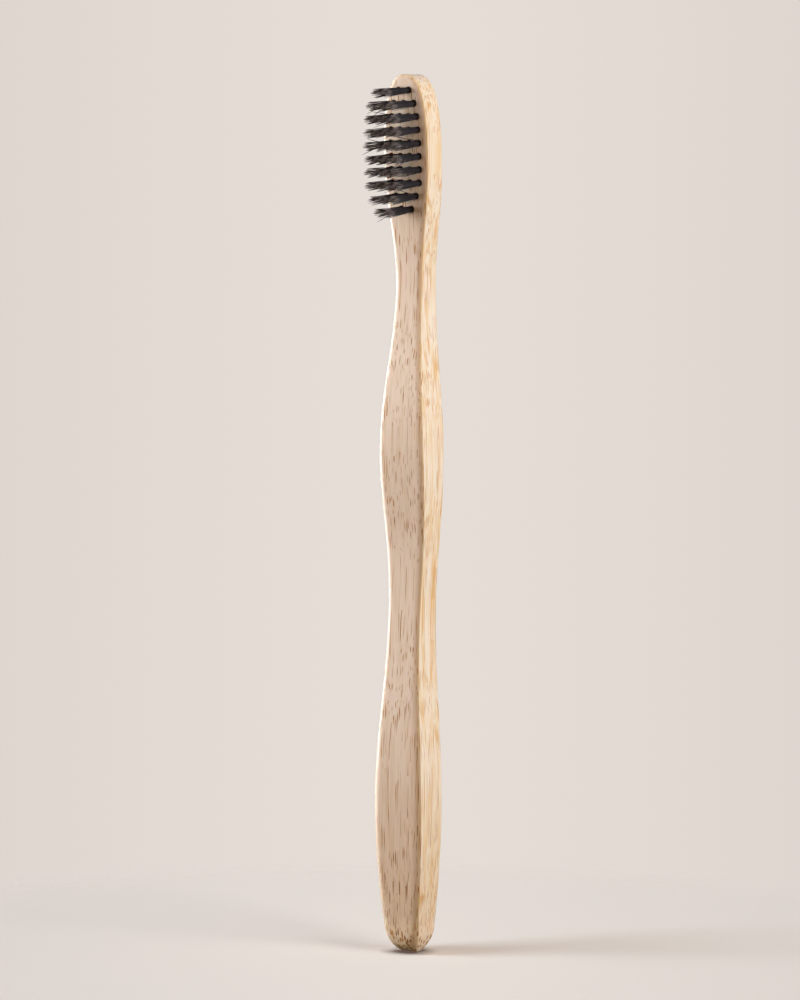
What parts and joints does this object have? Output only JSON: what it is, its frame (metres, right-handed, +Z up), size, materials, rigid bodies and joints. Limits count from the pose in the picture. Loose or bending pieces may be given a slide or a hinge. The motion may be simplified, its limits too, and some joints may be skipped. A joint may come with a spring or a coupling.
{
  "type": "manual toothbrush",
  "caption": "Manual toothbrush: a contoured bamboo handle with a flat back, and rows of dark nylon tufts anchored in the face of its slightly forward-tilted head.",
  "frame": {"origin": "middle of the foot of the handle, the lowest point of the upright brush", "axes": "+Z up along the handle to the head, -Y the way the bristles point, +Y out of the flat back, +X across the handle"},
  "size_m": [0.012, 0.0184, 0.19],
  "materials": {
    "bamboo": "sanded and oiled, satin",
    "bristle_nylon": "charcoal nylon, soft sheen",
    "anchor_wire": "drawn flat wire"
  },
  "bodies": {
    "root": {"handle": "bamboo", "tuft_row01_1": "bristle_nylon", "tuft_row01_2": "bristle_nylon", "tuft_row02_1": "bristle_nylon", "tuft_row02_2": "bristle_nylon", "tuft_row02_3": "bristle_nylon", "tuft_row03_1": "bristle_nylon", "tuft_row03_2": "bristle_nylon", "tuft_row03_3": "bristle_nylon", "tuft_row03_4": "bristle_nylon", "tuft_row04_1": "bristle_nylon", "tuft_row04_2": "bristle_nylon", "tuft_row04_3": "bristle_nylon", "tuft_row04_4": "bristle_nylon", "tuft_row05_1": "bristle_nylon", "tuft_row05_2": "bristle_nylon", "tuft_row05_3": "bristle_nylon", "tuft_row05_4": "bristle_nylon", "tuft_row06_1": "bristle_nylon", "tuft_row06_2": "bristle_nylon", "tuft_row06_3": "bristle_nylon", "tuft_row06_4": "bristle_nylon", "tuft_row07_1": "bristle_nylon", "tuft_row07_2": "bristle_nylon", "tuft_row07_3": "bristle_nylon", "tuft_row07_4": "bristle_nylon", "tuft_row08_1": "bristle_nylon", "tuft_row08_2": "bristle_nylon", "tuft_row08_3": "bristle_nylon", "tuft_row08_4": "bristle_nylon", "tuft_row09_1": "bristle_nylon", "tuft_row09_2": "bristle_nylon", "tuft_row09_3": "bristle_nylon", "tuft_row10_1": "bristle_nylon", "tuft_row10_2": "bristle_nylon", "anchors_row01": "anchor_wire", "anchors_row02": "anchor_wire", "anchors_row03": "anchor_wire", "anchors_row04": "anchor_wire", "anchors_row05": "anchor_wire", "anchors_row06": "anchor_wire", "anchors_row07": "anchor_wire", "anchors_row08": "anchor_wire", "anchors_row09": "anchor_wire", "anchors_row10": "anchor_wire"}
  },
  "joints": []
}
